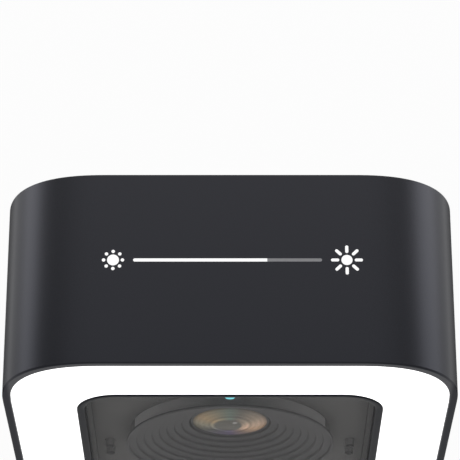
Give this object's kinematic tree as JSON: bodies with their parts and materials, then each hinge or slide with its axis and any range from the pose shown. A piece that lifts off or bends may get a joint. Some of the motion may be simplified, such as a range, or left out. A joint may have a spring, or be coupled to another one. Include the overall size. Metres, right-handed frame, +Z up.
{
  "type": "video doorbell",
  "caption": "Wall-mounted video doorbell with a lit front panel, a hooded lens behind a smoked window, a call button and a touch brightness slider on its top face.",
  "frame": {"origin": "centre of the cable hole in the wall bracket, on the wall plane", "axes": "+Y into the wall, +Z up, the front looks along -Y, +X to the right of someone facing it"},
  "size_m": [0.12, 0.0551, 0.2524],
  "materials": {
    "anodised_body": "fine bead-blasted, dark anodised",
    "lit_sign": "opal, lit from behind",
    "unlit_sign": "opal, unlit",
    "clear_guide": "clear, polished",
    "circuit_board": "solder mask",
    "opal_diffuser": "opal, satin",
    "white_plastic": "moulded, satin",
    "white_board": "white solder mask",
    "light_diode": "phosphor under clear resin",
    "chassis_metal": "brushed sheet",
    "steel": "zinc plated",
    "bezel_black": "moulded, satin",
    "smoked_glass": "polished, smoked",
    "black_plastic": "moulded, matt",
    "hood_black": "moulded, matt, stepped",
    "lens_glass": "polished, coated",
    "filter_glass": "polished",
    "sensor_chip": "under glass",
    "infrared_diode": "dark resin",
    "status_pipe": "clear, lit from behind",
    "copper": "etched",
    "button_black": "moulded, satin",
    "ring_pipe": "frosted",
    "rubber_black": "moulded",
    "foam_black": "closed-cell foam",
    "chip_black": "moulded",
    "flex_film": "polyimide film",
    "speaker_black": "moulded and pressed",
    "cable_cover": "extruded",
    "galvanised": "galvanised sheet"
  },
  "bodies": {
    "bracket": {"wall_bracket": "galvanised"},
    "housing": {"outer_band": "anodised_body", "slider_bar_lit": "lit_sign", "slider_bar_unlit": "unlit_sign", "dim_icon": "lit_sign", "bright_icon": "lit_sign", "slider_light_guide": "clear_guide", "touch_board": "circuit_board", "light_diffuser": "opal_diffuser", "reflector_tray": "white_plastic", "light_board": "white_board", "light_leds": "light_diode", "chassis_plate": "chassis_metal", "chassis_screws": "steel", "camera_bezel": "bezel_black", "front_window": "smoked_glass", "window_adhesive": "black_plastic", "module_shell": "black_plastic", "module_screws": "steel", "inner_mask": "black_plastic", "lens_hood": "hood_black", "lens_barrel": "black_plastic", "lens_front_glass": "lens_glass", "lens_holder": "black_plastic", "ir_cut_frame": "black_plastic", "image_sensor": "sensor_chip", "sensor_board": "circuit_board", "infrared_leds": "infrared_diode", "infrared_boards": "circuit_board", "status_light": "status_pipe", "motion_radar": "circuit_board", "wifi_antenna": "copper", "button_spring": "steel", "button_ring": "ring_pipe", "button_gasket": "rubber_black", "button_carrier": "black_plastic", "button_switch": "chip_black", "button_board": "circuit_board", "main_board": "circuit_board", "main_chips": "chip_black", "camera_flex": "flex_film", "power_board": "circuit_board", "power_parts": "chip_black", "board_screws": "steel", "speaker_chamber": "speaker_black", "speaker_driver": "speaker_black", "reset_switch": "chip_black", "microphone": "rubber_black", "rear_cover": "black_plastic", "rear_cover_screws": "steel", "wall_seal": "foam_black", "terminal_block": "white_plastic", "supply_leads": "cable_cover"},
    "call_button": {"button_cap": "button_black", "button_icon": "lit_sign", "button_clip": "steel"},
    "reset_button": {"reset_key": "black_plastic"},
    "ir_shuttle": {"ir_cut_shuttle": "chip_black", "ir_cut_panes": "filter_glass"},
    "lock_screw": {"lock_screw": "steel"}
  },
  "joints": [
    {"name": "unit_lift", "type": "slide", "parent": "bracket", "child": "housing", "axis": [0, 0, 1], "range_m": [0, 0.0085]},
    {"name": "lock_screw", "type": "slide", "parent": "housing", "child": "lock_screw", "axis": [0, 0, -1], "range_m": [0, 0.01]},
    {"name": "call_button", "type": "slide", "parent": "housing", "child": "call_button", "axis": [0, 1, 0], "range_m": [0, 0.0012], "stiffness_N_per_m": 800, "springref_m": -0.001, "deforming": ["button_spring"]},
    {"name": "reset_button", "type": "slide", "parent": "housing", "child": "reset_button", "axis": [0, 0, 1], "range_m": [0, 0.0008], "stiffness_N_per_m": 600, "springref_m": -0.0005},
    {"name": "ir_shuttle", "type": "slide", "parent": "housing", "child": "ir_shuttle", "axis": [-1, 0, 0], "range_m": [0, 0.008]}
  ]
}
